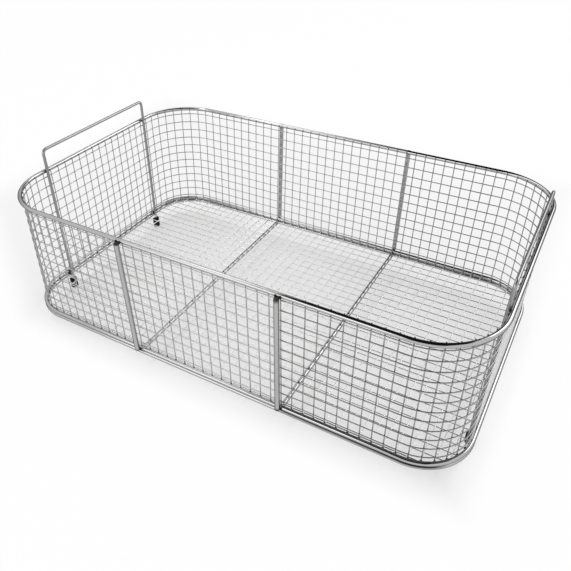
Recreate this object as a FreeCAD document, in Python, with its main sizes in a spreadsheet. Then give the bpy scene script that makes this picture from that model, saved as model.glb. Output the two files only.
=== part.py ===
import FreeCAD, Part
import math
import os
import Sketcher

# Ultrasonic cleaner basket: round rods carry five panels of welded square mesh.
# X runs along the basket, Y across it, Z up from the surface that the feet stand on.
# The origin is below the middle of the floor. All sizes are in millimetres.

Vector = FreeCAD.Vector
doc = FreeCAD.newDocument("CleanerBasket")

# Driving dimensions
sheet = doc.addObject("Spreadsheet::Sheet", "Sizes")
SIZES = (
    ("frame_length", 455.0, "rim and base rods, centre to centre along X"),
    ("base_width", 273.0, "base rods, centre to centre along Y"),
    ("rim_spread", 6.0, "how much wider the rim is than the base rods"),
    ("rim_corner", 55.0, "bend radius of the rim at the rod's centre"),
    ("base_corner", 45.0, "bend radius of the base rods at their centre"),
    ("wall_height", 122.5, "upper base rod to rim, centre to centre"),
    ("ring_rod", 4.0, "diameter of the rim and base rods"),
    ("post_rod", 4.5, "diameter of the four wall posts"),
    ("post_bevel", 1.0, "bevel at the ends of a post"),
    ("rib_rod", 4.0, "diameter of the two floor ribs"),
    ("handle_rod", 3.0, "diameter of the handle rod"),
    ("handle_rise", 23.0, "handle bar above the rim, centre to centre"),
    ("handle_bend", 4.5, "bend radius of the handle at the rod's centre"),
    ("handle_cells", 15, "mesh cells between the two legs of a handle"),
    ("strip_cells", 15, "mesh cells between two posts of one wall"),
    ("mesh_wire", 1.0, "thickness of the mesh wire"),
    ("mesh_pitch", 10.1, "from one mesh wire to the next"),
    ("first_wire", 5.6, "lowest level wire of a wall above the upper base rod"),
    ("mesh_bend", 0.7, "bevel where the middle strip turns from wall to floor"),
    ("corner_flats", 6, "short flats in which a mesh wire turns a corner"),
    ("foot_clearance", 14.5, "under the lower base rod"),
    ("foot_diameter", 8.0, "rubber foot"),
    ("foot_height", 12.0, "rubber foot"),
    ("foot_sole", 2.0, "rubber under the end of the leg"),
    ("foot_bevel", 0.8, "bevel at the foot's outer edges"),
    ("weld_gap", 0.05, "between pieces that are welded or pushed together"),
)
for row, (alias, number, meaning) in enumerate(SIZES, start=1):
    sheet.set(f"A{row}", meaning)
    sheet.set(f"B{row}", str(number))
    sheet.setAlias(f"B{row}", alias)
doc.recompute()


def size(alias):
    return float(sheet.get(alias))


# Levels and offsets that follow from the driving dimensions, as formulas for the bodies
ROD_SIDES = 12
RIM_WIDTH = "(Sizes.base_width + Sizes.rim_spread)"
LOWER_RING_Z = "(Sizes.foot_clearance + Sizes.ring_rod / 2)"
UPPER_RING_Z = f"({LOWER_RING_Z} + Sizes.ring_rod + Sizes.weld_gap)"
RIM_Z = f"({UPPER_RING_Z} + Sizes.wall_height)"
POST_X = "(Sizes.strip_cells * Sizes.mesh_pitch / 2)"
LEG_Y = "(Sizes.handle_cells * Sizes.mesh_pitch / 2)"
LEG_X = "(Sizes.frame_length / 2 - Sizes.ring_rod / 2 - Sizes.weld_gap - Sizes.handle_rod / 2)"
LEG_END_Z = "(Sizes.foot_sole + Sizes.weld_gap)"
POST_OUTSET = "(Sizes.ring_rod / 2 + Sizes.weld_gap + Sizes.post_rod / 2)"
POST_RUN_Z = f"({RIM_Z} - {LOWER_RING_Z})"
POST_RUN_Y = "(Sizes.rim_spread / 2)"
POST_LEAN = f"atan({POST_RUN_Y} / {POST_RUN_Z})"

# The same levels as numbers, for the mesh
wire = size("mesh_wire")
pitch = size("mesh_pitch")
gap = size("weld_gap")
ring_radius = size("ring_rod") / 2
lower_ring_z = size("foot_clearance") + ring_radius
upper_ring_z = lower_ring_z + size("ring_rod") + gap
rim_z = upper_ring_z + size("wall_height")
post_x = size("strip_cells") * pitch / 2
leg_x = size("frame_length") / 2 - ring_radius - gap - size("handle_rod") / 2

# Upright wires stand against the inner side of the rings, and level wires lie outside them
upright_inset = ring_radius + gap + wire / 2
level_inset = upright_inset - wire - gap

# Floor wires along X rest on the ribs and reach the upper base ring below the upright wires,
# and floor wires along Y lie on top of them and end at the upright wires
floor_long_z = lower_ring_z + size("rib_rod") / 2 + gap + wire / 2
floor_long_top = floor_long_z + wire / 2
floor_long_inset = math.sqrt((ring_radius + gap) ** 2 - (upper_ring_z - floor_long_top) ** 2)
floor_cross_z = floor_long_z + wire + gap
floor_cross_inset = upright_inset + wire / 2 + gap
wire_overhang = upper_ring_z - floor_long_top - gap


# Sketches and bodies
def plane(body, role):
    return next(part for part in body.Origin.OriginFeatures if part.Role == role)


def new_body(label):
    body = doc.addObject("PartDesign::Body", label)
    body.Label = label
    return body


def new_sketch(body, name, role):
    sketch = body.newObject("Sketcher::SketchObject", name)
    sketch.AttachmentSupport = [(plane(body, role), "")]
    sketch.MapMode = "FlatFace"
    return sketch


def dimension(sketch, name, formula, *constraint):
    start_value = float(sketch.evalExpression(formula))
    index = sketch.addConstraint(Sketcher.Constraint(*constraint, start_value))
    sketch.renameConstraint(index, name)
    sketch.setExpression(f"Constraints.{name}", formula)


def place(body, x="0", y="0", z="0"):
    body.setExpression("Placement.Base.x", x)
    body.setExpression("Placement.Base.y", y)
    body.setExpression("Placement.Base.z", z)


def line(x0, y0, x1, y1):
    return Part.LineSegment(Vector(x0, y0, 0), Vector(x1, y1, 0))


def arc(x, y, radius, start, end):
    circle = Part.Circle(Vector(x, y, 0), Vector(0, 0, 1), radius)
    return Part.ArcOfCircle(circle, math.radians(start), math.radians(end))


def rod_section(body, name, role, rod, axis_x="0", axis_y="0"):
    """A rod's section with ROD_SIDES flats, drawn round the point (-axis_x, -axis_y) of a plane."""
    sketch = new_sketch(body, name, role)
    across_corners = f"{rod} / cos(180 / {ROD_SIDES})"
    x, y, radius = (
        float(sketch.evalExpression(formula)) for formula in (axis_x, axis_y, f"{across_corners} / 2")
    )
    corners = []
    for index in range(ROD_SIDES):
        angle = (index - 0.5) * 2 * math.pi / ROD_SIDES
        corners.append((radius * math.cos(angle) - x, radius * math.sin(angle) - y))
    for start, end in zip(corners, corners[1:] + corners[:1]):
        sketch.addGeometry(line(*start, *end))
    guide = sketch.addGeometry(Part.Circle(Vector(-x, -y, 0), Vector(0, 0, 1), radius), True)
    for side in range(ROD_SIDES):
        sketch.addConstraint(Sketcher.Constraint("Coincident", side, 2, (side + 1) % ROD_SIDES, 1))
        sketch.addConstraint(Sketcher.Constraint("PointOnObject", side, 1, guide))
        if side:
            sketch.addConstraint(Sketcher.Constraint("Equal", 0, side))
    sketch.addConstraint(Sketcher.Constraint("Vertical", 0))
    dimension(sketch, "across_corners", across_corners, "Diameter", guide)
    if axis_x == "0":
        sketch.addConstraint(Sketcher.Constraint("PointOnObject", guide, 3, -2))
    else:
        dimension(sketch, "axis_x", axis_x, "DistanceX", guide, 3, -1, 1)
    if axis_y == "0":
        sketch.addConstraint(Sketcher.Constraint("PointOnObject", guide, 3, -1))
    else:
        dimension(sketch, "axis_y", axis_y, "DistanceY", guide, 3, -1, 1)
    return sketch


def bent_rod(body, section, path):
    pipe = body.newObject("PartDesign::AdditivePipe", f"{body.Name}_pipe")
    pipe.Profile = section
    pipe.Spine = path
    doc.recompute()


def straight_rod(body, section, length, bevel=None):
    """A straight rod from its section, with both ends bevelled where bevel is given."""
    pad = body.newObject("PartDesign::Pad", f"{body.Name}_pad")
    pad.Profile = section
    pad.setExpression("Length", length)
    doc.recompute()
    if bevel:
        end_edges = [
            f"Edge{number}"
            for number, edge in enumerate(pad.Shape.Edges, start=1)
            if abs(edge.Vertexes[0].Z - edge.Vertexes[-1].Z) < gap
        ]
        chamfer = body.newObject("PartDesign::Chamfer", f"{body.Name}_bevel")
        chamfer.Base = (pad, end_edges)
        chamfer.setExpression("Size", bevel)
        doc.recompute()


# Rim and base rings: one round rod each, bent to a rounded rectangle and butt welded
def ring(label, length, width, corner, z):
    body = new_body(label)
    path = new_sketch(body, f"{label}_path", "XY_Plane")
    half_x, half_y, bend = 200.0, 120.0, 50.0
    inner_x, inner_y = half_x - bend, half_y - bend
    path.addGeometry(
        [
            line(0, -half_y, inner_x, -half_y),
            arc(inner_x, -inner_y, bend, -90, 0),
            line(half_x, -inner_y, half_x, inner_y),
            arc(inner_x, inner_y, bend, 0, 90),
            line(inner_x, half_y, -inner_x, half_y),
            arc(-inner_x, inner_y, bend, 90, 180),
            line(-half_x, inner_y, -half_x, -inner_y),
            arc(-inner_x, -inner_y, bend, 180, 270),
            line(-inner_x, -half_y, 0, -half_y),
        ]
    )
    for first in range(8):
        path.addConstraint(Sketcher.Constraint("Tangent", first, 2, first + 1, 1))
    path.addConstraint(Sketcher.Constraint("Coincident", 8, 2, 0, 1))
    path.addConstraint(Sketcher.Constraint("PointOnObject", 0, 1, -2))
    for side in (0, 4, 8):
        path.addConstraint(Sketcher.Constraint("Horizontal", side))
    for side in (2, 6):
        path.addConstraint(Sketcher.Constraint("Vertical", side))
    for bent in (3, 5, 7):
        path.addConstraint(Sketcher.Constraint("Equal", 1, bent))
    dimension(path, "corner", corner, "Radius", 1)
    dimension(path, "right", f"{length} / 2", "DistanceX", -1, 1, 2, 1)
    dimension(path, "left", f"{length} / 2", "DistanceX", 6, 1, -1, 1)
    dimension(path, "back", f"{width} / 2", "DistanceY", -1, 1, 4, 1)
    dimension(path, "front", f"{width} / 2", "DistanceY", 0, 1, -1, 1)
    section = rod_section(body, f"{label}_section", "YZ_Plane", "Sizes.ring_rod", axis_x=f"{width} / 2")
    bent_rod(body, section, path)
    place(body, z=z)
    return body


# Posts: straight rods on the outer side of the long walls, leaning out with the wall
def post(label, side_x, side_y):
    body = new_body(label)
    section = rod_section(body, f"{label}_section", "XY_Plane", "Sizes.post_rod")
    length = f"sqrt({POST_RUN_Z} ^ 2 + {POST_RUN_Y} ^ 2) + Sizes.ring_rod"
    straight_rod(body, section, length, "Sizes.post_bevel")
    body.Placement = FreeCAD.Placement(Vector(), FreeCAD.Rotation(Vector(-side_y, 0, 0), 1.0))
    body.setExpression("Placement.Rotation.Angle", POST_LEAN)
    place(
        body,
        x=f"{side_x} * {POST_X}",
        y=f"{side_y} * (Sizes.base_width / 2 + {POST_OUTSET} - Sizes.ring_rod / 2 * sin({POST_LEAN}))",
        z=f"{LOWER_RING_Z} - Sizes.ring_rod / 2 * cos({POST_LEAN})",
    )
    return body


# Floor ribs: straight rods between the long sides of the lower base ring
def floor_rib(label, side_x):
    body = new_body(label)
    half = "(Sizes.base_width / 2 - Sizes.ring_rod / 2 - Sizes.weld_gap)"
    section = rod_section(body, f"{label}_section", "XZ_Plane", "Sizes.rib_rod")
    straight_rod(body, section, f"2 * {half}")
    place(body, x=f"{side_x} * {POST_X}", y=half, z=LOWER_RING_Z)
    return body


# Handles: one rod from foot to foot, up the inside of the end wall and over the rim
def handle(label, side_x):
    body = new_body(label)
    path = new_sketch(body, f"{label}_path", "YZ_Plane")
    half, top, bend = 70.0, 160.0, 5.0
    path.addGeometry(
        [
            line(-half, 0, -half, top - bend),
            arc(bend - half, top - bend, bend, 90, 180),
            line(bend - half, top, half - bend, top),
            arc(half - bend, top - bend, bend, 0, 90),
            line(half, top - bend, half, 0),
        ]
    )
    for first, end, second, start in ((0, 2, 1, 2), (1, 1, 2, 1), (2, 2, 3, 2), (3, 1, 4, 1)):
        path.addConstraint(Sketcher.Constraint("Tangent", first, end, second, start))
    path.addConstraint(Sketcher.Constraint("Vertical", 0))
    path.addConstraint(Sketcher.Constraint("Vertical", 4))
    path.addConstraint(Sketcher.Constraint("Equal", 1, 3))
    path.addConstraint(Sketcher.Constraint("PointOnObject", 0, 1, -1))
    path.addConstraint(Sketcher.Constraint("PointOnObject", 4, 2, -1))
    path.addConstraint(Sketcher.Constraint("Horizontal", 2))
    dimension(path, "left", LEG_Y, "DistanceX", 0, 1, -1, 1)
    dimension(path, "right", LEG_Y, "DistanceX", -1, 1, 4, 2)
    dimension(path, "bend", "Sizes.handle_bend", "Radius", 1)
    dimension(path, "top", f"{RIM_Z} + Sizes.handle_rise - {LEG_END_Z}", "DistanceY", -1, 1, 2, 1)
    section = rod_section(body, f"{label}_section", "XY_Plane", "Sizes.handle_rod", axis_y=LEG_Y)
    bent_rod(body, section, path)
    place(body, x=f"{side_x} * {LEG_X}", z=LEG_END_Z)
    return body


# Rubber feet: caps with a blind bore, pushed over the ends of the handle legs
def foot(label, side_x, side_y):
    body = new_body(label)
    section = rod_section(body, f"{label}_section", "XY_Plane", "Sizes.foot_diameter")
    straight_rod(body, section, "Sizes.foot_height", "Sizes.foot_bevel")
    bore_section = rod_section(body, f"{label}_bore", "XY_Plane", "(Sizes.handle_rod + 2 * Sizes.weld_gap)")
    bore_section.setExpression("AttachmentOffset.Base.z", "Sizes.foot_sole")
    bore = body.newObject("PartDesign::Pocket", f"{label}_pocket")
    bore.Profile = bore_section
    bore.Reversed = True
    bore.setExpression("Length", "Sizes.foot_height")
    doc.recompute()
    place(body, x=f"{side_x} * {LEG_X}", y=f"{side_y} * {LEG_Y}")
    return body


# The walls' plan at any height between the upper base ring and the rim
def plan_at(z, inset):
    """Half length, half width and corner radius of the wall, moved inward by inset."""
    share = (z - upper_ring_z) / (rim_z - upper_ring_z)
    half_x = size("frame_length") / 2
    half_y = (size("base_width") + share * size("rim_spread")) / 2
    corner = size("base_corner") + share * (size("rim_corner") - size("base_corner"))
    return half_x - inset, half_y - inset, corner - inset


def run_length(plan):
    """From the middle of an end wall round one corner to the nearest post."""
    half_x, half_y, corner = plan
    return half_y - corner + corner * math.pi / 2 + half_x - corner - post_x


def point_on_wall(plan, run):
    """Point and outward angle at a distance along the wall from the middle of the +X end."""
    half_x, half_y, corner = plan
    side = math.copysign(1.0, run)
    left = abs(run) - (half_y - corner)
    if left <= 0:
        return half_x, run, 0.0
    angle = min(left / corner, math.pi / 2)
    beyond = left - angle * corner
    x = half_x - corner + corner * math.cos(angle) - beyond
    y = half_y - corner + corner * math.sin(angle)
    return x, side * y, side * angle


# Mesh wires, drawn with a square section
def outline(path, width):
    """Closed outline of a flat bent wire whose centre line is path, with mitred bends."""
    near, far = [], []
    for index, (x, y) in enumerate(path):
        x0, y0 = path[max(index - 1, 0)]
        x1, y1 = path[min(index + 1, len(path) - 1)]
        before = math.atan2(y - y0, x - x0) if index else math.atan2(y1 - y, x1 - x)
        after = math.atan2(y1 - y, x1 - x) if index < len(path) - 1 else before
        turn = (after - before + math.pi) % (2 * math.pi) - math.pi
        reach = width / 2 / math.cos(turn / 2)
        side = before + turn / 2 + math.pi / 2
        near.append((x + reach * math.cos(side), y + reach * math.sin(side)))
        far.append((x - reach * math.cos(side), y - reach * math.sin(side)))
    return near + far[::-1]


def solid_between(points, direction):
    return Part.Face(Part.makePolygon(points + points[:1])).extrude(direction)


def straight_wire(start, end):
    """A wire along X or Y between the centres of its two ends."""
    low = [min(a, b) for a, b in zip(start, end)]
    reach = [abs(a - b) for a, b in zip(start, end)]
    box = [length if length > wire else wire for length in reach]
    corner = [c if length > wire else c - wire / 2 for c, length in zip(low, reach)]
    return Part.makeBox(*box, Vector(*corner))


def upright_wire(share):
    """A wire of the end mesh, at a share of the run from the middle of the end to a post."""
    ends = []
    for z in (upper_ring_z, rim_z):
        plan = plan_at(z, upright_inset)
        ends.append((*point_on_wall(plan, share * run_length(plan)), z))
    (x0, y0, angle0, z0), (x1, y1, angle1, z1) = ends
    angle = (angle0 + angle1) / 2
    slope = Vector(x1 - x0, y1 - y0, z1 - z0) / (z1 - z0)
    low_end = Vector(x0, y0, z0) - slope * wire_overhang
    outward = Vector(math.cos(angle), math.sin(angle), 0) * (wire / 2)
    sideways = Vector(-math.sin(angle), math.cos(angle), 0) * (wire / 2)
    square = [
        low_end - outward - sideways,
        low_end + outward - sideways,
        low_end + outward + sideways,
        low_end - outward + sideways,
    ]
    return solid_between(square, slope * (z1 - z0 + 2 * wire_overhang))


def wrapped_wire(z):
    """A level wire from one post round the end to the other post, in short flats at the corners."""
    half_x, half_y, corner = plan_at(z, level_inset)
    flats = int(size("corner_flats"))
    step = math.pi / 2 / flats
    reach = corner / math.cos(step / 2)
    bend = [
        (
            half_x - corner + reach * math.cos((index + 0.5) * step),
            half_y - corner + reach * math.sin((index + 0.5) * step),
        )
        for index in range(flats)
    ]
    back = bend + [(post_side_x, half_y)]
    front = [(x, -y) for x, y in reversed(back)]
    points = [Vector(x, y, z - wire / 2) for x, y in outline(front + back, wire)]
    return solid_between(points, Vector(0, 0, wire))


def folded_wire(x):
    """A wire of the middle strip: down the front wall, across the floor and up the back wall."""
    top_z = rim_z + wire_overhang
    top_y = plan_at(top_z, upright_inset)[1]
    floor_y = plan_at(floor_cross_z, upright_inset)[1]
    bend = size("mesh_bend")
    bend_y = plan_at(floor_cross_z + bend, upright_inset)[1]
    back = [(floor_y - bend, floor_cross_z), (bend_y, floor_cross_z + bend), (top_y, top_z)]
    front = [(-y, z) for y, z in reversed(back)]
    points = [Vector(x - wire / 2, y, z) for y, z in outline(front + back, wire)]
    return solid_between(points, Vector(wire, 0, 0))


def on_both_sides(first, last, step):
    """Places from first to last, one step apart, and their mirror images about the middle."""
    count = int((last - first) / step) + 1
    places = [first + step * index for index in range(count)]
    return sorted({sign * place for place in places for sign in (-1, 1)})


# Level wires of the walls, and places of the floor wires: legs and posts stand in mid cell
post_side_x = post_x + size("post_rod") / 2 + wire
level_room = size("wall_height") - ring_radius - wire - size("first_wire")
level_heights = [
    upper_ring_z + size("first_wire") + pitch * index
    for index in range(int(level_room / pitch) + 1)
]
first_y = 0.0 if size("handle_cells") % 2 else pitch / 2
first_x = pitch / 2 if size("strip_cells") % 2 else 0.0


def end_mesh():
    """Right end: a strip of mesh that wraps the end wall and both corners, from post to post."""
    cells = round(run_length(plan_at(upper_ring_z, upright_inset)) / pitch)
    shares = on_both_sides(first_y / pitch / cells, 1 - 0.5 / cells, 1 / cells)
    return Part.makeCompound(
        [upright_wire(share) for share in shares] + [wrapped_wire(z) for z in level_heights]
    )


def middle_mesh():
    """One strip of mesh folded to a trough: front wall, floor and back wall between the posts."""
    wires = [folded_wire(x) for x in on_both_sides(first_x, post_x - pitch / 2, pitch)]
    reach = 2 * post_x - post_side_x
    for z in level_heights:
        y = plan_at(z, level_inset)[1]
        for side in (-1, 1):
            wires.append(straight_wire((-reach, side * y, z), (reach, side * y, z)))
    on_rib = post_x - wire / 2
    floor_edge = plan_at(upper_ring_z, upright_inset)[1] - wire
    for y in on_both_sides(first_y, floor_edge, pitch):
        wires.append(straight_wire((-on_rib, y, floor_long_z), (on_rib, y, floor_long_z)))
    return Part.makeCompound(wires)


def floor_reach(across, half, other_half, corner):
    """How far a floor wire may run, whose middle lies at a distance across the floor's middle."""
    into_corner = across + wire / 2 - (half - corner)
    if into_corner <= 0:
        return other_half
    return other_half - corner + math.sqrt(corner**2 - into_corner**2)


def end_floor_mesh():
    """Right end of the floor, cut to the rounded corners and laid on the rib."""
    wires = []
    half_x, half_y, corner = plan_at(upper_ring_z, floor_long_inset)
    on_rib = post_x + wire / 2
    for y in on_both_sides(first_y, half_y - wire, pitch):
        end_x = floor_reach(abs(y), half_y, half_x, corner)
        wires.append(straight_wire((on_rib, y, floor_long_z), (end_x, y, floor_long_z)))
    half_x, half_y, corner = plan_at(upper_ring_z, floor_cross_inset)
    beside_leg = leg_x - size("handle_rod") / 2 - gap - wire / 2
    for index in range(1, int((beside_leg - post_x) / pitch) + 1):
        x = post_x + pitch * index
        end_y = floor_reach(x, half_x, half_y, corner)
        wires.append(straight_wire((x, -end_y, floor_cross_z), (x, end_y, floor_cross_z)))
    return Part.makeCompound(wires)


def mesh_panel(label, shape, turn=0.0):
    panel = doc.addObject("Part::Feature", label)
    panel.Label = label
    panel.Shape = shape
    panel.Placement = FreeCAD.Placement(Vector(), FreeCAD.Rotation(Vector(0, 0, 1), turn))
    return panel


subparts = [
    ring("top_rim", "Sizes.frame_length", RIM_WIDTH, "Sizes.rim_corner", RIM_Z),
    ring("upper_base_ring", "Sizes.frame_length", "Sizes.base_width", "Sizes.base_corner", UPPER_RING_Z),
    ring("lower_base_ring", "Sizes.frame_length", "Sizes.base_width", "Sizes.base_corner", LOWER_RING_Z),
]
for name_x, side_x in (("left", -1), ("right", 1)):
    subparts.append(floor_rib(f"{name_x}_floor_rib", side_x))
    subparts.append(handle(f"{name_x}_handle", side_x))
    for name_y, side_y in (("front", -1), ("back", 1)):
        subparts.append(post(f"{name_y}_{name_x}_post", side_x, side_y))
        subparts.append(foot(f"{name_y}_{name_x}_foot", side_x, side_y))
subparts.append(mesh_panel("middle_mesh_strip", middle_mesh()))
subparts.append(mesh_panel("right_end_mesh", end_mesh()))
subparts.append(mesh_panel("left_end_mesh", end_mesh(), 180.0))
subparts.append(mesh_panel("right_floor_mesh", end_floor_mesh()))
subparts.append(mesh_panel("left_floor_mesh", end_floor_mesh(), 180.0))

doc.recompute()
for item in doc.Objects:
    if "Invalid" in item.State or "Error" in item.State:
        raise RuntimeError(f"{item.Label} failed to build: {item.State}")
for subpart in subparts:
    if subpart.Shape.isNull() or not subpart.Shape.isValid():
        raise RuntimeError(f"{subpart.Label} has no valid shape")

os.makedirs("parts", exist_ok=True)
for subpart in subparts:
    subpart.Shape.exportStep(f"parts/{subpart.Label}.step")
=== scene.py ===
import math
import random

import bpy
import numpy as np
from mathutils import Matrix, Vector


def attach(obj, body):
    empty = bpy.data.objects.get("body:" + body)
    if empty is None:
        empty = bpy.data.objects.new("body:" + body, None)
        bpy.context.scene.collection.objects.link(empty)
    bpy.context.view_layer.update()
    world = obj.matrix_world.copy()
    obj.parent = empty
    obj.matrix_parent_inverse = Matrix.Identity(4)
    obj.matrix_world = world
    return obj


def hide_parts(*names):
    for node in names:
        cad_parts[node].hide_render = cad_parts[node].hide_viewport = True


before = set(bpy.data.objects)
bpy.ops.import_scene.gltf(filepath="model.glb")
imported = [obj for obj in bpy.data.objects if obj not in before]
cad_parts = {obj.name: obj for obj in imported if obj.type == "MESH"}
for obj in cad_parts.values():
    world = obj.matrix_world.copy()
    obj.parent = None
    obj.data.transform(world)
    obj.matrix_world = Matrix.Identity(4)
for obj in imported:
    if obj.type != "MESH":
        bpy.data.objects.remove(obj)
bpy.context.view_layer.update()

# Ultrasonic cleaner basket. Up to the stage all lengths are millimetres, and MM turns them to metres.
MM = 0.001
FRAME_LENGTH = 455.0
BASE_WIDTH = 273.0
RIM_WIDTH = 279.0
RIM_CORNER = 55.0
BASE_CORNER = 45.0
WALL_HEIGHT = 122.5
RING_R = 2.0
POST_R = 2.25
RIB_R = 2.0
HANDLE_R = 1.5
HANDLE_RISE = 23.0
HANDLE_BEND = 4.5
WIRE_R = 0.5
PITCH = 10.1
CELLS = 15
FIRST_WIRE = 5.6
ROWS = 12
MESH_BEND = 1.2
FOOT_CLEARANCE = 14.5
FOOT_R = 4.0
FOOT_HEIGHT = 12.0
FOOT_SOLE = 2.0
GAP = 0.05

# SINK is how deep wires are pressed into each other, and twice how deep into the rods.
# OVERHANG is how far uprights pass the centre of a ring's rod.
SINK = 0.12
OVERHANG = 0.95

# How far posts pass the centre heights of their rods, and how far their cut ends are rounded
POST_END = 0.1
POST_DOME = 1.4
HANDLE_DOME = 0.5

# Points round a rod, and the longest steps along it
THICK_SIDES = 24
THIN_SIDES = 20
WIRE_SIDES = 10
FOOT_SIDES = 32
RING_STEP = 3.0
ROD_STEP = 4.0
WIRE_STEP = 16.0
BENT_WIRE_STEP = 12.0
DOME_STEPS = 4

LOWER_Z = FOOT_CLEARANCE + RING_R
UPPER_Z = LOWER_Z + 2 * RING_R + GAP
RIM_Z = UPPER_Z + WALL_HEIGHT
LEG_END_Z = FOOT_SOLE + GAP + 0.6
POST_X = CELLS * PITCH / 2
LEG_Y = CELLS * PITCH / 2
LEG_X = FRAME_LENGTH / 2 - RING_R - GAP - HANDLE_R
UPRIGHT_INSET = RING_R + WIRE_R - SINK / 2
LEVEL_INSET = UPRIGHT_INSET - 2 * WIRE_R + SINK
FLOOR_LONG_Z = LOWER_Z + RIB_R + GAP + WIRE_R
FLOOR_CROSS_Z = FLOOR_LONG_Z + 2 * WIRE_R - SINK
FLOOR_CROSS_INSET = UPRIGHT_INSET + WIRE_R - SINK / 2
LEVELS = [UPPER_Z + FIRST_WIRE + PITCH * i for i in range(ROWS)]
LEVEL_REACH = POST_X - 0.8

# Heights of the rods that carry the posts, with their half widths, and of those that the legs pass
POST_RINGS = ((UPPER_Z, BASE_WIDTH / 2), (RIM_Z, RIM_WIDTH / 2))
LEG_RINGS = (LOWER_Z, UPPER_Z, RIM_Z)

chance = random.Random(11)


def bands(count, sides, closed=False, flipped=False):
    """The faces between each ring of points and the next."""
    faces = []
    for i in range(count if closed else count - 1):
        a, b = i * sides, (i + 1) % count * sides
        for k in range(sides):
            m = (k + 1) % sides
            if flipped:
                faces.append((a + k, b + k, b + m, a + m))
            else:
                faces.append((a + k, a + m, b + m, b + k))
    return faces


def lids(count, sides, flipped=False):
    """The faces that close the first and the last ring of points."""
    first = tuple(range(sides))
    last = tuple((count - 1) * sides + k for k in range(sides))
    return [first, last[::-1]] if flipped else [first[::-1], last]


def put(name, data):
    made = bpy.data.objects.new(name, data)
    bpy.context.scene.collection.objects.link(made)
    return made


class Builder:
    """Collects rods, beads and turned forms into one mesh, with a lengthwise map and the share of burn and
    painted shade.
    """

    def __init__(self):
        self.points = []
        self.faces = []
        self.along = []
        self.burn_and_shade = []

    def add(self, points, faces, along, burn_and_shade):
        start = len(self.points)
        self.points += [tuple(p) for p in points]
        self.faces += [tuple(start + i for i in face) for face in faces]
        self.along += list(along)
        self.burn_and_shade += list(burn_and_shade)

    def rod(self, path, radius, sides, closed=False, dome=0.0, burn_and_shade_at=None):
        """A round rod along path. dome is how far each end is rounded over."""
        path = [Vector(p) for p in path]
        count = len(path)
        tangents = []
        for i in range(count):
            before = path[i - 1] if i or closed else path[i]
            after = path[(i + 1) % count] if i < count - 1 or closed else path[i]
            tangents.append((after - before).normalized())
        normal = tangents[0].orthogonal().normalized()
        axes = []
        for tangent in tangents:
            normal = (normal - tangent * normal.dot(tangent)).normalized()
            axes.append((normal.copy(), tangent.cross(normal)))
        travelled = [0.0]
        for a, b in zip(path, path[1:]):
            travelled.append(travelled[-1] + (b - a).length)
        cap = []
        if dome and not closed:
            for step in range(DOME_STEPS):
                angle = math.pi / 2 * step / DOME_STEPS
                cap.append((dome * math.cos(angle), radius - dome * (1 - math.sin(angle))))
        rows = [(0, -outward, r) for outward, r in cap]
        rows += [(i, 0.0, radius) for i in range(count)]
        rows += [(count - 1, outward, r) for outward, r in reversed(cap)]
        points, along, burn_and_shade = [], [], []
        for index, shift, r in rows:
            centre = path[index] + tangents[index] * shift
            u, v = axes[index]
            for k in range(sides):
                angle = 2 * math.pi * k / sides
                p = centre + (u * math.cos(angle) + v * math.sin(angle)) * r
                points.append(p)
                along.append((k / sides, travelled[index]))
                burn_and_shade.append(burn_and_shade_at(p) if burn_and_shade_at else 0.0)
        faces = bands(len(rows), sides, closed)
        if not closed:
            faces += lids(len(rows), sides)
        self.add(points, faces, along, burn_and_shade)

    def bead(self, centre, half_axes, rows, sides, uneven, burn_and_shade):
        """A weld bead: an ellipsoid on three half axes, with points moved in or out by chance."""
        centre = Vector(centre)
        ax, ay, az = (Vector(a) for a in half_axes)
        points = []
        for i in range(1, rows):
            polar = math.pi * i / rows
            for k in range(sides):
                turn = 2 * math.pi * k / sides
                grow = 1 + uneven * (chance.random() - 0.5)
                offset = ax * math.sin(polar) * math.cos(turn) + ay * math.sin(polar) * math.sin(turn)
                points.append(centre + (offset + az * math.cos(polar)) * grow)
        points += [centre + az, centre - az]
        north, south = len(points) - 2, len(points) - 1
        faces = bands(rows - 1, sides, flipped=True)
        last = (rows - 2) * sides
        for k in range(sides):
            m = (k + 1) % sides
            faces.append((north, k, m))
            faces.append((south, last + m, last + k))
        along = [(0.1 * k, 0.0) for k in range(len(points))]
        self.add(points, faces, along, [burn_and_shade] * len(points))

    def turned(self, profile, x, y, sides):
        """A turned form from pairs of radius and height, about the upright axis through x and y."""
        points = []
        for radius, z in profile:
            for k in range(sides):
                angle = 2 * math.pi * k / sides
                points.append((x + radius * math.cos(angle), y + radius * math.sin(angle), z))
        faces = bands(len(profile), sides, flipped=True)
        faces += lids(len(profile), sides, flipped=True)
        self.add(points, faces, [(0.0, 0.0)] * len(points), [0.0] * len(points))

    def piece(self, name, material, slot, *nodes, sharp=40.0):
        """The finished object, in place of the named CAD nodes. Edges over sharp degrees stay crisp."""
        mesh = bpy.data.meshes.new(name)
        mesh.from_pydata([(x * MM, y * MM, z * MM) for x, y, z in self.points], [], self.faces)
        mesh.update()
        uv = mesh.uv_layers.new(name="Along")
        burn_and_shade = mesh.attributes.new("burn_and_shade", "FLOAT", "POINT")
        burn_and_shade.data.foreach_set("value", np.array(self.burn_and_shade, np.float32))
        corners = np.empty(len(mesh.loops), np.int32)
        mesh.loops.foreach_get("vertex_index", corners)
        table = np.array(self.along, np.float32)[corners]
        table[:, 1] *= MM
        uv.data.foreach_set("uv", table.ravel())
        mesh.materials.append(material)
        mesh.shade_smooth()
        mesh.set_sharp_from_angle(angle=math.radians(sharp))
        made = put(name, mesh)
        if nodes:
            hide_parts(*nodes)
        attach(made, "root")
        return made


# Nodes of the materials: each helper gives back an output to be linked on
MIX_FIRST, MIX_SECOND, MIX_RESULT = 6, 7, 2


def node(tree, kind, **values):
    made = tree.nodes.new(kind)
    for key, value in values.items():
        if key in made.inputs:
            made.inputs[key].default_value = value
        else:
            setattr(made, key, value)
    return made


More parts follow.
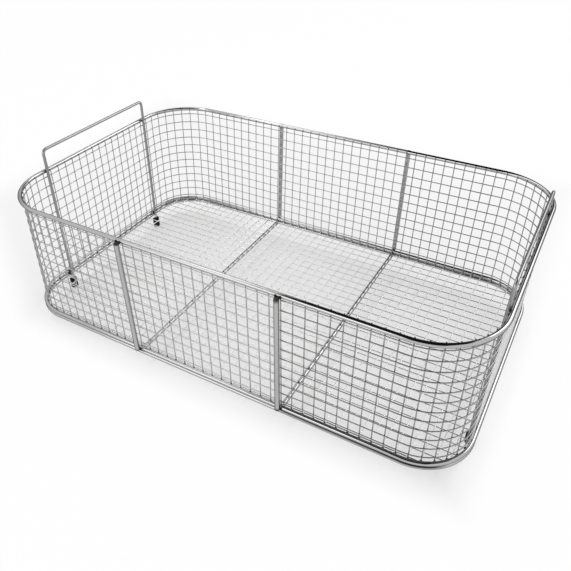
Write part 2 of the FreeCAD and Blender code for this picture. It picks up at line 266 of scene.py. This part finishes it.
def mix(tree, share, first, second):
    """The colour between first and second, each of them a colour or an output."""
    made = node(tree, "ShaderNodeMix", data_type="RGBA")
    tree.links.new(share, made.inputs[0])
    for index, value in ((MIX_FIRST, first), (MIX_SECOND, second)):
        if isinstance(value, tuple):
            made.inputs[index].default_value = (*value, 1)
        else:
            tree.links.new(value, made.inputs[index])
    return made.outputs[MIX_RESULT]


def compute(tree, operation, *values, **settings):
    """The result of a sum, each value of it a number or an output."""
    made = node(tree, "ShaderNodeMath", operation=operation, **settings)
    for socket, value in zip(made.inputs, values):
        if isinstance(value, float):
            socket.default_value = value
        else:
            tree.links.new(value, socket)
    return made.outputs[0]


def ramp(tree, value, start=0.0, end=1.0, low=0.0, high=1.0, **settings):
    """Runs from low to high while value goes from start to end."""
    made = node(tree, "ShaderNodeMapRange", **settings)
    made.inputs["From Min"].default_value = start
    made.inputs["From Max"].default_value = end
    made.inputs["To Min"].default_value = low
    made.inputs["To Max"].default_value = high
    tree.links.new(value, made.inputs["Value"])
    return made.outputs[0]


def noise(tree, place, scale, detail, rough):
    made = node(tree, "ShaderNodeTexNoise", Scale=scale, Detail=detail, Roughness=rough)
    tree.links.new(place, made.inputs["Vector"])
    return made.outputs["Fac"]


def split(tree, place, axis):
    made = node(tree, "ShaderNodeSeparateXYZ")
    tree.links.new(place, made.inputs[0])
    return made.outputs[axis]


def emboss(tree, shader, height, strength, distance):
    """Fine relief on a shader. distance is in metres."""
    made = node(tree, "ShaderNodeBump", Strength=strength, Distance=distance)
    tree.links.new(height, made.inputs["Height"])
    tree.links.new(made.outputs[0], shader.inputs["Normal"])


def new_material(name):
    """An empty material, with its node tree and the socket for its surface."""
    material = bpy.data.materials.new(name)
    material.use_nodes = True
    tree = material.node_tree
    tree.nodes.clear()
    return material, tree, node(tree, "ShaderNodeOutputMaterial").inputs["Surface"]


# Steel: streaks round and along a rod, mottling as shares of its colour, and burnt metal, whose dark
# colour also paints shade in the groove between the base rods
STREAKS = (26.0, 90.0, 1.0)
MOTTLING = (0.93, 1.06)
# The dark colour of burnt metal, also used for the painted shade in the groove between the base rods
BURNT_AND_SHADED_COLOUR = (0.05, 0.045, 0.042)
BURN_AND_SHADE_ROUGHER = 0.25
LEAST_ROUGH, MOST_ROUGH = 0.7, 1.35
# Heights between which the floor colour, a painted highlight on the floor wires, fades in
HIGHLIGHT_BELOW = FLOOR_CROSS_Z + 0.8
NO_HIGHLIGHT_ABOVE = FLOOR_CROSS_Z + 2.0
DULL_EDGE = 3.0


def steel(name, colour, rough, streak, edge, floor_highlight_colour=None, duller=0.0):
    """Polished drawn steel: fine streaks along the rod, faint mottling, burn marks at welds and painted
    shade in the groove between the base rods.

    edge is the grey that it reflects at grazing angles.
    A floor colour takes over below the first level wire: a paler colour that paints the highlight the
    upward-facing floor wires catch.
    duller is added to the roughness of the middle third, between the posts.
    """
    material, tree, surface = new_material(name)
    shader = node(tree, "ShaderNodeBsdfPrincipled")
    shader.inputs["Metallic"].default_value = 1.0
    shader.inputs["Specular Tint"].default_value = (edge, edge, edge, 1)
    tree.links.new(shader.outputs[0], surface)
    where = node(tree, "ShaderNodeTexCoord").outputs["Object"]
    burn_and_shade = node(tree, "ShaderNodeAttribute", attribute_name="burn_and_shade").outputs["Fac"]

    lengthwise = node(tree, "ShaderNodeMapping")
    lengthwise.inputs["Scale"].default_value = STREAKS
    tree.links.new(node(tree, "ShaderNodeUVMap", uv_map="Along").outputs[0], lengthwise.inputs[0])
    streaks = noise(tree, lengthwise.outputs[0], 1.0, 4.0, 0.6)

    cloud = noise(tree, where, 70.0, 3.0, 0.5)
    darker, paler = (tuple(min(1.0, c * share) for c in colour) for share in MOTTLING)
    base = mix(tree, cloud, darker, paler)
    # Painted highlight: the floor wires get a paler colour
    if floor_highlight_colour:
        low = ramp(tree, split(tree, where, "Z"), NO_HIGHLIGHT_ABOVE * MM, HIGHLIGHT_BELOW * MM)
        base = mix(tree, low, base, floor_highlight_colour)
    # The burn share darkens the colour: burn marks at welds, and painted shade in the base rods' groove
    tree.links.new(mix(tree, burn_and_shade, base, BURNT_AND_SHADED_COLOUR), shader.inputs["Base Color"])

    roughness = ramp(tree, streaks, low=rough * LEAST_ROUGH, high=rough * MOST_ROUGH)
    roughness = compute(tree, "MULTIPLY_ADD", burn_and_shade, BURN_AND_SHADE_ROUGHER, roughness)
    if duller:
        off_middle = compute(tree, "ABSOLUTE", split(tree, where, "X"))
        start, end = (POST_X + DULL_EDGE) * MM, (POST_X - DULL_EDGE) * MM
        roughness = compute(tree, "ADD", roughness, ramp(tree, off_middle, start, end, high=duller))
    tree.links.new(roughness, shader.inputs["Roughness"])
    emboss(tree, shader, streaks, streak, 0.00005)
    return material


def rubber(name):
    """Matt black rubber with a fine grain and patches of dust."""
    material, tree, surface = new_material(name)
    shader = node(tree, "ShaderNodeBsdfPrincipled")
    shader.inputs["Specular IOR Level"].default_value = 0.12
    tree.links.new(shader.outputs[0], surface)
    where = node(tree, "ShaderNodeTexCoord").outputs["Object"]
    grain = noise(tree, where, 2600.0, 3.0, 0.6)
    dust = noise(tree, where, 240.0, 4.0, 0.6)
    colour = mix(tree, dust, (0.006, 0.006, 0.006), (0.018, 0.0175, 0.017))
    tree.links.new(colour, shader.inputs["Base Color"])
    tree.links.new(ramp(tree, dust, low=0.45, high=0.75), shader.inputs["Roughness"])
    emboss(tree, shader, grain, 0.25, 0.00008)
    return material


def grey(value):
    return (value, value, value)


rod_steel = steel("rod_steel_look", grey(0.46), rough=0.08, streak=0.2, edge=0.03, duller=0.17)
# The floor colours of the mesh steels are painted highlights on the floor wires
mesh_steel = steel(
    "mesh_steel_look", grey(0.38), rough=0.12, streak=0.2, edge=0.35, floor_highlight_colour=grey(0.72),
)
# A paler copy of the wire steel, a painted lighter reflection on the middle strip and the left end walls,
# while the right end walls keep the darker copy
lighter_reflection_mesh_steel = steel(
    "lighter_reflection_mesh_steel_look", grey(0.46), rough=0.32, streak=0.2, edge=0.5, floor_highlight_colour=grey(0.76),
)
handle_steel = steel("handle_steel_look", grey(0.37), rough=0.3, streak=0.25, edge=0.25)
weld_steel = steel("weld_look", (0.036, 0.034, 0.033), rough=0.45, streak=0.1, edge=0.3)
foot_rubber = rubber("foot_rubber_look")


# Lines that the rods follow
def quarter(steps):
    """The cosine and sine at each step of a quarter turn."""
    angles = [math.pi / 2 * step / steps for step in range(steps + 1)]
    return [(math.cos(angle), math.sin(angle)) for angle in angles]


def rounded_loop(length, width, corner, z, steps=20):
    """A level rounded rectangle about the middle of the basket."""
    half_x, half_y = length / 2, width / 2
    points = []
    for cx, cy, start in (
        (half_x - corner, -(half_y - corner), -90),
        (half_x - corner, half_y - corner, 0),
        (-(half_x - corner), half_y - corner, 90),
        (-(half_x - corner), -(half_y - corner), 180),
    ):
        for step in range(steps + 1):
            angle = math.radians(start + 90 * step / steps)
            points.append((cx + corner * math.cos(angle), cy + corner * math.sin(angle), z))
    return points


def subdivided(path, longest, closed=False):
    """The same line with points no further apart than longest."""
    path = [Vector(p) for p in path]
    ends = path + path[:1] if closed else path
    points = []
    for a, b in zip(ends, ends[1:]):
        parts = max(1, math.ceil((b - a).length / longest))
        points += [a.lerp(b, i / parts) for i in range(parts)]
    if not closed:
        points.append(path[-1])
    return points


# Burn marks and painted shade, as shares from 0 to 1: burn around the larger welds and on cut ends,
# painted shade in the groove
weld_places = []
for side_x in (-1, 1):
    for side_y in (-1, 1):
        for z, half in POST_RINGS:
            weld_places.append(Vector((side_x * POST_X, side_y * (half + RING_R), z)))
        for z in LEG_RINGS:
            weld_places.append(Vector((side_x * (FRAME_LENGTH / 2 - RING_R), side_y * LEG_Y, z)))
        weld_places.append(Vector((side_x * POST_X, side_y * (BASE_WIDTH / 2 - RING_R), LOWER_Z)))


def weld_burn(point, most=0.4, reach=5.0):
    """Metal darkened around the nearest weld."""
    nearest = min((point - place).length for place in weld_places)
    return most * max(0.0, 1.0 - nearest / reach) ** 1.5


def end_burn(point, low, high, reach):
    """Darker, ground metal on the cut ends of a post."""
    lean = (high - low).normalized()
    inward = min((point - low).dot(lean), (high - point).dot(lean))
    return min(1.0, max(0.0, 1.0 - inward / reach))


def groove_painted_shade(point, most=0.9):
    """Painted shade in the groove between the base rods, from the front right post to halfway round the
    corner.
    """
    height = (point.z - LOWER_Z) / RING_R
    shares = ((height - 0.3) / 0.2, (point.x - POST_X) / 3.0, (-point.y - 122.0) / 8.0)
    return most * min(1.0, max(0.0, min(shares)))


# The lower rod's burn marks at its welds, together with the painted shade in its groove
def lower_ring_burn_and_painted_shade(point):
    return max(weld_burn(point), groove_painted_shade(point))


# Rods
# The lower base ring also carries painted shade in its groove
for name, width, corner, z, burn_and_shade_at in (
    ("top_rim", RIM_WIDTH, RIM_CORNER, RIM_Z, weld_burn),
    ("upper_base_ring", BASE_WIDTH, BASE_CORNER, UPPER_Z, weld_burn),
    ("lower_base_ring", BASE_WIDTH, BASE_CORNER, LOWER_Z, lower_ring_burn_and_painted_shade),
):
    build = Builder()
    loop = subdivided(rounded_loop(FRAME_LENGTH, width, corner, z), RING_STEP, closed=True)
    build.rod(loop, RING_R, THICK_SIDES, closed=True, burn_and_shade_at=burn_and_shade_at)
    build.piece(name + "_rod", rod_steel, "rod_steel", name)


def floor_rib(name_x, side_x):
    half = BASE_WIDTH / 2 - RING_R - GAP
    line = [(side_x * POST_X, -half, LOWER_Z), (side_x * POST_X, half, LOWER_Z)]
    build = Builder()
    build.rod(subdivided(line, ROD_STEP), RIB_R, THIN_SIDES, burn_and_shade_at=weld_burn)
    build.piece(f"{name_x}_floor_rib_rod", rod_steel, "rod_steel", f"{name_x}_floor_rib")


def handle(name_x, side_x):
    """Two legs that end in the feet, two tight bends and the grip bar."""
    x = side_x * LEG_X
    bend_y = LEG_Y - HANDLE_BEND
    bend_z = RIM_Z + HANDLE_RISE - HANDLE_BEND
    back_half = [(x, bend_y + HANDLE_BEND * s, bend_z + HANDLE_BEND * c) for c, s in quarter(12)]
    back_half.append((x, LEG_Y, LEG_END_Z))
    front_half = [(px, -py, pz) for px, py, pz in back_half]
    build = Builder()
    line = subdivided(front_half[::-1] + back_half, ROD_STEP)
    build.rod(line, HANDLE_R, THIN_SIDES, dome=HANDLE_DOME, burn_and_shade_at=weld_burn)
    build.piece(f"{name_x}_handle_rod", handle_steel, "rod_steel", f"{name_x}_handle")


FRONT_END_BURN, BACK_END_BURN = 0.95, 0.3
RIGHT_END_REACH, LEFT_END_REACH = 3.0, 0.8


def post(name_x, side_x, name_y, side_y):
    """A wall post outside the rods, leaning with the wall, from the upper base rod to the rim."""
    outset = RING_R + GAP + POST_R
    low = Vector((side_x * POST_X, side_y * (BASE_WIDTH / 2 + outset), LOWER_Z))
    high = Vector((side_x * POST_X, side_y * (RIM_WIDTH / 2 + outset), RIM_Z))
    lean = (high - low).normalized()
    cut = low.lerp(high, (UPPER_Z - LOWER_Z) / (RIM_Z - LOWER_Z))
    start = cut - lean * (POST_END - POST_DOME)
    end = high + lean * (POST_END - POST_DOME)
    burnt = FRONT_END_BURN if side_y < 0 else BACK_END_BURN
    reach = RIGHT_END_REACH if side_x > 0 else LEFT_END_REACH
    inner = subdivided([start + lean * reach, end - lean * reach], ROD_STEP)
    build = Builder()
    build.rod(
        [start, *inner, end], POST_R, THICK_SIDES, dome=POST_DOME,
        burn_and_shade_at=lambda p: max(weld_burn(p), burnt * end_burn(p, start, end, reach)),
    )
    build.piece(f"{name_y}_{name_x}_post_rod", rod_steel, "rod_steel", f"{name_y}_{name_x}_post")


# A foot's profile from the floor of its bore, over its rim and down to the middle of its sole
AXIS = 0.001
FOOT_BORE = HANDLE_R + GAP
FOOT_PROFILE = (
    (AXIS, FOOT_SOLE),
    (FOOT_BORE, FOOT_SOLE),
    (FOOT_BORE, FOOT_HEIGHT - 0.3),
    (HANDLE_R + 0.4, FOOT_HEIGHT),
    (FOOT_R - 1.0, FOOT_HEIGHT),
    (FOOT_R - 0.5, FOOT_HEIGHT - 0.13),
    (FOOT_R - 0.13, FOOT_HEIGHT - 0.5),
    (FOOT_R, FOOT_HEIGHT - 1.0),
    (FOOT_R, 1.0),
    (FOOT_R - 0.13, 0.5),
    (FOOT_R - 0.5, 0.13),
    (FOOT_R - 0.9, 0.0),
    (AXIS, 0.0),
)


def foot(name_x, side_x, name_y, side_y):
    name = f"{name_y}_{name_x}_foot"
    build = Builder()
    build.turned(FOOT_PROFILE, side_x * LEG_X, side_y * LEG_Y, FOOT_SIDES)
    build.piece(name + "_cap", foot_rubber, "foot_rubber", name, sharp=50)


for name_x, side_x in (("left", -1), ("right", 1)):
    floor_rib(name_x, side_x)
    handle(name_x, side_x)
    for name_y, side_y in (("front", -1), ("back", 1)):
        post(name_x, side_x, name_y, side_y)
        foot(name_x, side_x, name_y, side_y)


# Mesh wires
def wire(build, path, longest=WIRE_STEP):
    build.rod(subdivided(path, longest), WIRE_R, WIRE_SIDES)


def plan_at(z, inset):
    """The wall's half length, half width and corner radius at a height, inset from the rods' centre."""
    share = (z - UPPER_Z) / (RIM_Z - UPPER_Z)
    half_y = (BASE_WIDTH + share * (RIM_WIDTH - BASE_WIDTH)) / 2
    corner = BASE_CORNER + share * (RIM_CORNER - BASE_CORNER)
    return FRAME_LENGTH / 2 - inset, half_y - inset, corner - inset


def run_length(plan):
    """The way along the wall from the middle of an end, round the corner, to the post."""
    half_x, half_y, corner = plan
    return half_y - corner + corner * math.pi / 2 + half_x - corner - POST_X


def point_on_wall(plan, run):
    half_x, half_y, corner = plan
    side = math.copysign(1.0, run)
    left = abs(run) - (half_y - corner)
    if left <= 0:
        return half_x, run
    angle = min(left / corner, math.pi / 2)
    beyond = left - angle * corner
    x = half_x - corner + corner * math.cos(angle) - beyond
    y = half_y - corner + corner * math.sin(angle)
    return x, side * y


def both_sides(first, last, step):
    """Places at even steps from first to last, and the same on the other side of the middle."""
    places = [first + step * i for i in range(int((last - first) / step) + 1)]
    return sorted({sign * place for place in places for sign in (-1, 1)})


END_CELLS = round(run_length(plan_at(UPPER_Z, UPRIGHT_INSET)) / PITCH)
FOLDED_WIRES = both_sides(PITCH / 2, POST_X - PITCH / 2, PITCH)


def end_mesh(build, side):
    """One end's wrapped strip: side is 1 on the right and -1 on the left."""
    for k in range(-END_CELLS, END_CELLS + 1):
        line = []
        for z in (UPPER_Z - OVERHANG, RIM_Z + OVERHANG):
            plan = plan_at(z, UPRIGHT_INSET)
            x, y = point_on_wall(plan, k / END_CELLS * run_length(plan))
            line.append((side * x, side * y, z))
        wire(build, line)
    for z in LEVELS:
        half_x, half_y, corner = plan_at(z, LEVEL_INSET)
        back = [
            (side * (half_x - corner + corner * c), half_y - corner + corner * s, z)
            for c, s in quarter(16)
        ]
        back.append((side * (POST_X - WIRE_R / 2), half_y, z))
        front = [(x, -y, z) for x, y, z in reversed(back)]
        wire(build, front + back, BENT_WIRE_STEP)


def middle_mesh(build):
    """The trough between the posts: folded wires, level wires and the floor's long wires."""
    top_y = plan_at(RIM_Z + OVERHANG, UPRIGHT_INSET)[1]
    low_y = plan_at(FLOOR_CROSS_Z + MESH_BEND, UPRIGHT_INSET)[1]
    for x in FOLDED_WIRES:
        back = [
            (x, low_y - MESH_BEND + MESH_BEND * s, FLOOR_CROSS_Z + MESH_BEND - MESH_BEND * c)
            for c, s in quarter(4)
        ]
        back.append((x, top_y, RIM_Z + OVERHANG))
        front = [(px, -py, pz) for px, py, pz in reversed(back)]
        wire(build, front + back)
    for z in LEVELS:
        y = plan_at(z, LEVEL_INSET)[1]
        for side in (-1, 1):
            wire(build, [(-LEVEL_REACH, side * y, z), (LEVEL_REACH, side * y, z)])
    reach = POST_X - WIRE_R
    edge = plan_at(UPPER_Z, UPRIGHT_INSET)[1] - 2 * WIRE_R
    for y in both_sides(0.0, edge, PITCH):
        wire(build, [(-reach, y, FLOOR_LONG_Z), (reach, y, FLOOR_LONG_Z)])


def floor_reach(across, half, other_half, corner):
    """How far a floor wire runs before it meets the ring, which is rounded at the corners."""
    into = across + WIRE_R - (half - corner)
    if into <= 0:
        return other_half
    return other_half - corner + math.sqrt(corner**2 - into**2)


def end_floor(build, side):
    """One end third of the floor, from the rib to the ring."""
    inset = math.sqrt((RING_R + GAP) ** 2 - (UPPER_Z - FLOOR_LONG_Z - WIRE_R) ** 2)
    half_x, half_y, corner = plan_at(UPPER_Z, inset)
    start = POST_X + WIRE_R
    for y in both_sides(0.0, half_y - 2 * WIRE_R, PITCH):
        end = floor_reach(abs(y), half_y, half_x, corner)
        wire(build, [(side * start, y, FLOOR_LONG_Z), (side * end, y, FLOOR_LONG_Z)])
    half_x, half_y, corner = plan_at(UPPER_Z, FLOOR_CROSS_INSET)
    beside_leg = LEG_X - HANDLE_R - GAP - WIRE_R
    for i in range(1, int((beside_leg - POST_X) / PITCH) + 1):
        x = POST_X + PITCH * i
        end = floor_reach(x, half_x, half_y, corner)
        wire(build, [(side * x, -end, FLOOR_CROSS_Z), (side * x, end, FLOOR_CROSS_Z)])


# The paler copy of the mesh steel paints lighter reflections on the middle strip and the left end walls
for name, make, sides, look in (
    ("middle_mesh_strip", middle_mesh, (), lighter_reflection_mesh_steel),
    ("left_end_mesh", end_mesh, (-1,), lighter_reflection_mesh_steel),
    ("right_end_mesh", end_mesh, (1,), mesh_steel),
    ("left_floor_mesh", end_floor, (-1,), mesh_steel),
    ("right_floor_mesh", end_floor, (1,), mesh_steel),
):
    build = Builder()
    make(build, *sides)
    build.piece(name + "_wires", look, "mesh_steel", name)


# Spot welds: a small dark nugget wherever a wire is pressed onto a rod
RIM_SPOT, BASE_SPOT, FLOOR_SPOT = 0.8, 1.25, 0.9
SPOT_HEIGHT_SHARE = 0.6
SPOT_UNEVEN = 0.25
SPOT_SEAT = 0.1


def spot(build, point, out, size):
    """One nugget at point, flattened along out, the direction from rod to wire."""
    out = Vector(out).normalized()
    side = out.orthogonal().normalized()
    other = out.cross(side)
    half_axes = (side * size, other * size, out * size * SPOT_HEIGHT_SHARE)
    build.bead(point, half_axes, 5, 8, SPOT_UNEVEN, 1.0)


def upright_feet(z, inset):
    """Where the uprights of both ends and the folded wires meet a ring."""
    plan = plan_at(z, inset)
    places = []
    for k in range(-END_CELLS, END_CELLS + 1):
        x, y = point_on_wall(plan, k / END_CELLS * run_length(plan))
        places += [(side * x, side * y) for side in (-1, 1)]
    for x in FOLDED_WIRES:
        places += [(x, side * plan[1]) for side in (-1, 1)]
    return places


for name, z, size in (("top_rim", RIM_Z, RIM_SPOT), ("upper_base_ring", UPPER_Z, BASE_SPOT)):
    build = Builder()
    for x, y in upright_feet(z, RING_R + SPOT_SEAT):
        spot(build, (x, y, z), (x / 3, y, 0.0), size)
    build.piece(name + "_spot_welds", weld_steel, "rod_steel", sharp=80)

build = Builder()
for y in both_sides(0.0, BASE_WIDTH / 2 - 6.0, PITCH):
    for side in (-1, 1):
        spot(build, (side * POST_X, y, LOWER_Z + RIB_R + SPOT_SEAT), (0, 0, 1), FLOOR_SPOT)
        end = floor_reach(abs(y), BASE_WIDTH / 2 - RING_R, FRAME_LENGTH / 2 - RING_R, BASE_CORNER - RING_R)
        spot(build, (side * (end + 0.3), y, FLOOR_LONG_Z + 0.2), (side, 0, -1), FLOOR_SPOT)
build.piece("floor_spot_welds", weld_steel, "rod_steel", sharp=80)


# Weld beads in pairs where rods meet, on both sides of the joint
BEAD_UNEVEN = 0.06
POST_BEAD = (1.25, 1.1, 1.4)
POST_BEAD_ASIDE = 1.9
LEG_BEAD = (0.9, 0.9, 1.1)
LEG_BEAD_ASIDE = 1.0
RIB_BEAD = (1.0, 0.9, 1.2)
RIB_BEAD_ASIDE = 1.1


def rod_bead(build, x, y, z, half_sizes, burn_and_shade):
    a, b, c = half_sizes
    build.bead((x, y, z), ((a, 0, 0), (0, b, 0), (0, 0, c)), 8, 14, BEAD_UNEVEN, burn_and_shade)


build = Builder()
for side_x in (-1, 1):
    for side_y in (-1, 1):
        for z, half in POST_RINGS:
            y = side_y * (half + RING_R + 0.1)
            for beside in (-POST_BEAD_ASIDE, POST_BEAD_ASIDE):
                rod_bead(build, side_x * POST_X + beside, y, z - 0.2, POST_BEAD, 0.9)
        x = side_x * (FRAME_LENGTH / 2 - RING_R + 0.1)
        for z in LEG_RINGS:
            for beside in (-LEG_BEAD_ASIDE, LEG_BEAD_ASIDE):
                rod_bead(build, x, side_y * LEG_Y + beside, z, LEG_BEAD, 0.8)
        y = side_y * (BASE_WIDTH / 2 - RING_R + 0.2)
        for beside in (-RIB_BEAD_ASIDE, RIB_BEAD_ASIDE):
            rod_bead(build, side_x * POST_X + beside, y, LOWER_Z, RIB_BEAD, 0.7)
build.piece("rod_weld_beads", weld_steel, "rod_steel", sharp=80)


# Stage: pale floor and backdrop, soft light and the camera, with lengths in metres
# The patch of floor seen through the basket has five edges, each an outward normal and its distance.
# The normals of the two far edges are half as long, so that the floor whitens there over twice the width.
FLOOR_EDGES = (
    ((0.0, -1.0, 0.0), 0.14),
    ((1.0, 0.0, 0.0), 0.23),
    ((-0.5307, -0.8475, 0.0), 0.24),
    ((-0.5, 0.0, 0.0), 0.24),
    ((0.0, 0.5, 0.0), 0.22),
)
WHITENS_FROM, WHITENS_TO = -0.025, 0.022
WHITE_INSIDE, WHITE_OUTSIDE = 0.3, 0.97
WHITE = (1, 1, 1, 1)


def sees_backdrop(tree):
    """1 for the rays that show the backdrop itself: from the camera, mirrored or let through."""
    rays = node(tree, "ShaderNodeLightPath").outputs
    first = compute(tree, "ADD", rays["Is Camera Ray"], rays["Is Glossy Ray"], use_clamp=True)
    return compute(tree, "ADD", first, rays["Is Transmission Ray"], use_clamp=True)


def mix_shaders(tree, share, first, second, surface):
    mixed = node(tree, "ShaderNodeMixShader")
    for index, output in enumerate((share, first.outputs[0], second.outputs[0])):
        tree.links.new(output, mixed.inputs[index])
    tree.links.new(mixed.outputs[0], surface)


def backdrop_material():
    material, tree, surface = new_material("backdrop_look")
    diffuse = node(tree, "ShaderNodeBsdfDiffuse")
    diffuse.inputs["Color"].default_value = (0.97, 0.97, 0.97, 1)
    glow = node(tree, "ShaderNodeEmission")
    glow.inputs["Strength"].default_value = 1.0
    where = node(tree, "ShaderNodeTexCoord").outputs["Object"]
    beyond = None
    for normal, distance in FLOOR_EDGES:
        along = node(tree, "ShaderNodeVectorMath", operation="DOT_PRODUCT")
        along.inputs[1].default_value = normal
        tree.links.new(where, along.inputs[0])
        past = compute(tree, "SUBTRACT", along.outputs["Value"], distance)
        beyond = past if beyond is None else compute(tree, "MAXIMUM", beyond, past)
    whiter = ramp(
        tree, beyond, WHITENS_FROM, WHITENS_TO, WHITE_INSIDE, WHITE_OUTSIDE,
        interpolation_type="SMOOTHSTEP",
    )
    share = compute(tree, "MULTIPLY", sees_backdrop(tree), whiter)
    mix_shaders(tree, share, diffuse, glow, surface)
    return material


def plane(name, centre, size_x, size_y, material):
    mesh = bpy.data.meshes.new(name)
    x, y = size_x / 2, size_y / 2
    mesh.from_pydata([(-x, -y, 0), (x, -y, 0), (x, y, 0), (-x, y, 0)], [], [(0, 1, 2, 3)])
    mesh.materials.append(material)
    made = put(name, mesh)
    made.location = centre
    return made


plane("floor", (0, 0, -0.0002), 12, 12, backdrop_material())

world = bpy.data.worlds.new("studio")
bpy.context.scene.world = world
world.use_nodes = True
tree = world.node_tree
tree.nodes.clear()
lit = node(tree, "ShaderNodeBackground", Color=WHITE, Strength=0.64)
seen = node(tree, "ShaderNodeBackground", Color=WHITE, Strength=1.0)
surface = node(tree, "ShaderNodeOutputWorld").inputs["Surface"]
mix_shaders(tree, sees_backdrop(tree), lit, seen, surface)


AIM = Vector((0, 0, 0.08))


def softbox(name, direction, distance, width, height, power, upward=(0, 0, 1)):
    """An area light that looks at the basket from a direction, at a distance."""
    light = bpy.data.lights.new(name, "AREA")
    light.shape = "RECTANGLE"
    light.size, light.size_y = width, height
    light.energy = power
    made = put(name, light)
    away = Vector(direction).normalized()
    across = Vector(upward).cross(away).normalized()
    turn = Matrix((across, away.cross(across), away)).transposed().to_4x4()
    made.matrix_world = Matrix.Translation(away * distance + AIM) @ turn
    made.visible_camera = False
    return made


VAULT_CENTRE = (0.1, -0.1, 0.14)
VAULT_STEPS = 32
VAULT_SLANT = math.radians(40)
VAULT_EDGE = 0.54
VAULT_LEAST_WIDTH = 0.02


def dark_vault(name, radius, left, right, low, high):
    """A black strip of a sphere over the basket, for the steel to reflect.

    It runs from low to high, in degrees up from the back, between left and a slanted right edge.
    """
    material = bpy.data.materials.new("flag_look")
    material.use_nodes = True
    shader = material.node_tree.nodes["Principled BSDF"]
    shader.inputs["Base Color"].default_value = (0.004, 0.004, 0.004, 1)
    shader.inputs["Roughness"].default_value = 1.0
    centre = Vector(VAULT_CENTRE)
    points, faces = [], []
    for step in range(VAULT_STEPS + 1):
        angle = math.radians(low + (high - low) * step / VAULT_STEPS)
        slanted = (VAULT_EDGE - math.sin(VAULT_SLANT) * math.cos(angle)) / math.cos(VAULT_SLANT)
        for x in (left, max(left + VAULT_LEAST_WIDTH, min(right, slanted))):
            rest = math.sqrt(1 - x * x)
            direction = Vector((x, rest * math.cos(angle), rest * math.sin(angle)))
            points.append(centre + radius * direction)
    for step in range(VAULT_STEPS):
        faces.append((2 * step, 2 * step + 1, 2 * step + 3, 2 * step + 2))
    mesh = bpy.data.meshes.new(name)
    mesh.from_pydata(points, [], faces)
    mesh.materials.append(material)
    made = put(name, mesh)
    made.visible_camera = False
    made.visible_diffuse = False
    made.visible_shadow = False
    return made


softbox("top_left_softbox", (-0.72, 0.30, 1.35), 1.55, 0.26, 1.8, 3.4, upward=(0, 1, 0))
softbox("front_left_softbox", (-0.34, -0.86, 0.34), 1.8, 1.0, 1.2, 5.4)
softbox("back_right_softbox", (0.42, 0.70, 0.56), 1.9, 1.1, 1.1, 8)
dark_vault("dark_flag", 2.2, -0.39, 0.6, 12, 152)

# Camera: the photograph's, with its size, focal length and middle in pixels.
# OFFSET is the place of the middle of the upper base ring in the camera's own axes, in millimetres.
SIZE = 571
FOCAL = 609.1
CENTRE = (256.39, 285.35)
SENSOR = 36.0
AZ, EL, ROLL = (math.radians(v) for v in (31.06, 36.83, -1.09))
OFFSET = (23.64, -9.81, -644.77)
back = Vector((math.sin(AZ) * math.cos(EL), -math.cos(AZ) * math.cos(EL), math.sin(EL)))
right = Vector((math.cos(AZ), math.sin(AZ), 0))
up = back.cross(right)
right, up = (
    right * math.cos(ROLL) + up * math.sin(ROLL),
    up * math.cos(ROLL) - right * math.sin(ROLL),
)
camera_data = bpy.data.cameras.new("camera")
camera_data.sensor_fit = "HORIZONTAL"
camera_data.sensor_width = SENSOR
camera_data.lens = SENSOR * FOCAL / SIZE
camera_data.shift_x = (SIZE / 2 - CENTRE[0]) / SIZE
camera_data.shift_y = (CENTRE[1] - SIZE / 2) / SIZE
camera_data.clip_start = 0.01
camera_data.clip_end = 50.0
camera = put("camera", camera_data)
position = -(right * OFFSET[0] + up * OFFSET[1] + back * OFFSET[2]) * MM
position += Vector((0, 0, UPPER_Z * MM))
turn = Matrix((right, up, back)).transposed().to_4x4()
camera.matrix_world = Matrix.Translation(position) @ turn
bpy.context.scene.camera = camera

bpy.context.scene.view_settings.view_transform = "Standard"
